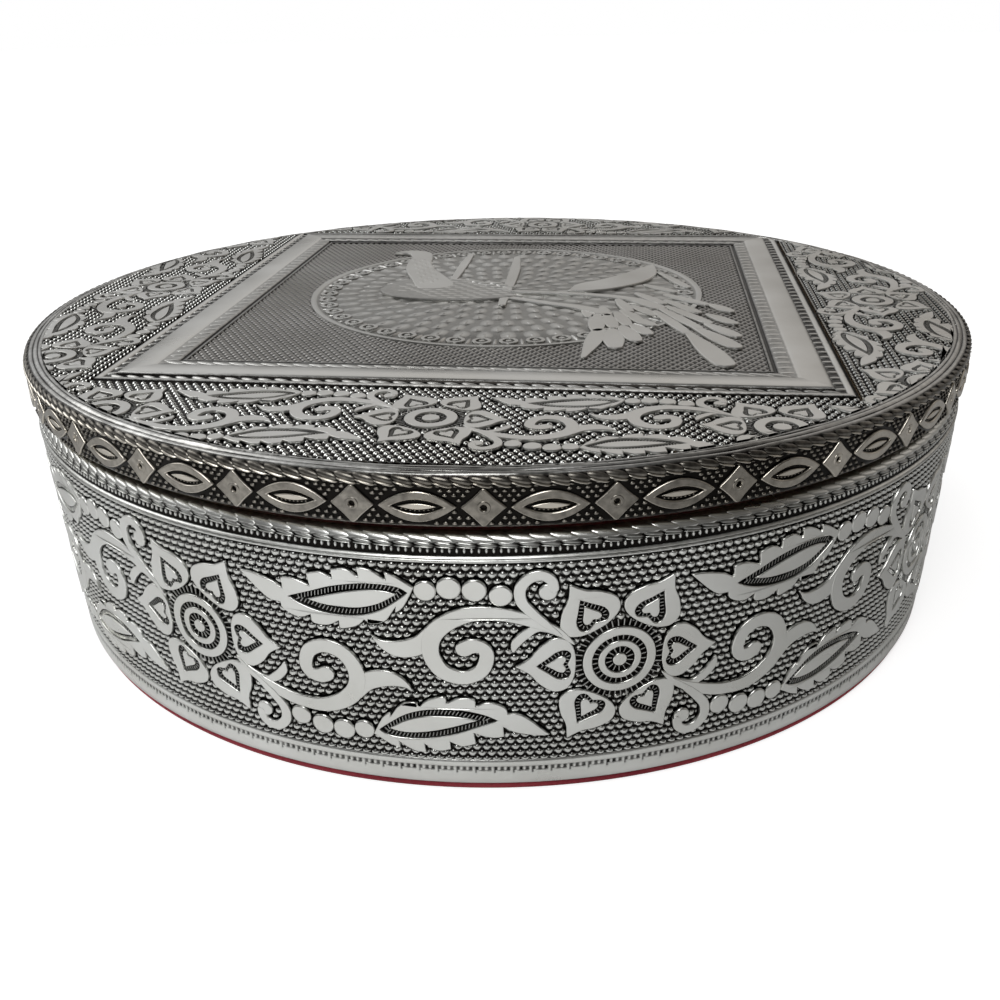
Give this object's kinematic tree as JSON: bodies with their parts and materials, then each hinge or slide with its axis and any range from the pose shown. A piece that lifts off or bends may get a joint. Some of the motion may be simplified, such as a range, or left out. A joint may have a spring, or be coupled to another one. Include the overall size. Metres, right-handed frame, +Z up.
{
  "type": "trinket box",
  "caption": "Low round keepsake box: board dressed in embossed silver-coloured sheet, lined in red velvet, with a lid that drops over a raised neck and lifts straight off.",
  "frame": {"origin": "middle of the base, on the surface that the box stands on", "axes": "+Z up along the axis of the round box, the side shown in the picture towards -Y, +X to its right"},
  "size_m": [0.1778, 0.1778, 0.053],
  "materials": {
    "embossed_sheet": "embossed silver-coloured sheet, satin on the raised pattern and blackened in the ground",
    "velvet": "deep red velvet",
    "board": "raw fibreboard, hidden under the sheet",
    "card": "grey card, hidden under the velvet"
  },
  "bodies": {
    "box": {"base_felt": "velvet", "base_board": "board", "body_wall": "board", "side_sheet": "embossed_sheet", "neck_collar": "card", "well_lining": "velvet", "floor_card": "card", "floor_velvet": "velvet"},
    "lid": {"lid_board": "board", "lid_rim": "board", "lid_top_sheet": "embossed_sheet", "lid_side_sheet": "embossed_sheet", "lid_lining": "velvet", "lid_rim_lining": "velvet"}
  },
  "joints": [
    {"name": "lid_lift", "type": "slide", "parent": "box", "child": "lid", "axis": [0, 0, 1], "range_m": [0, 0.06]}
  ]
}
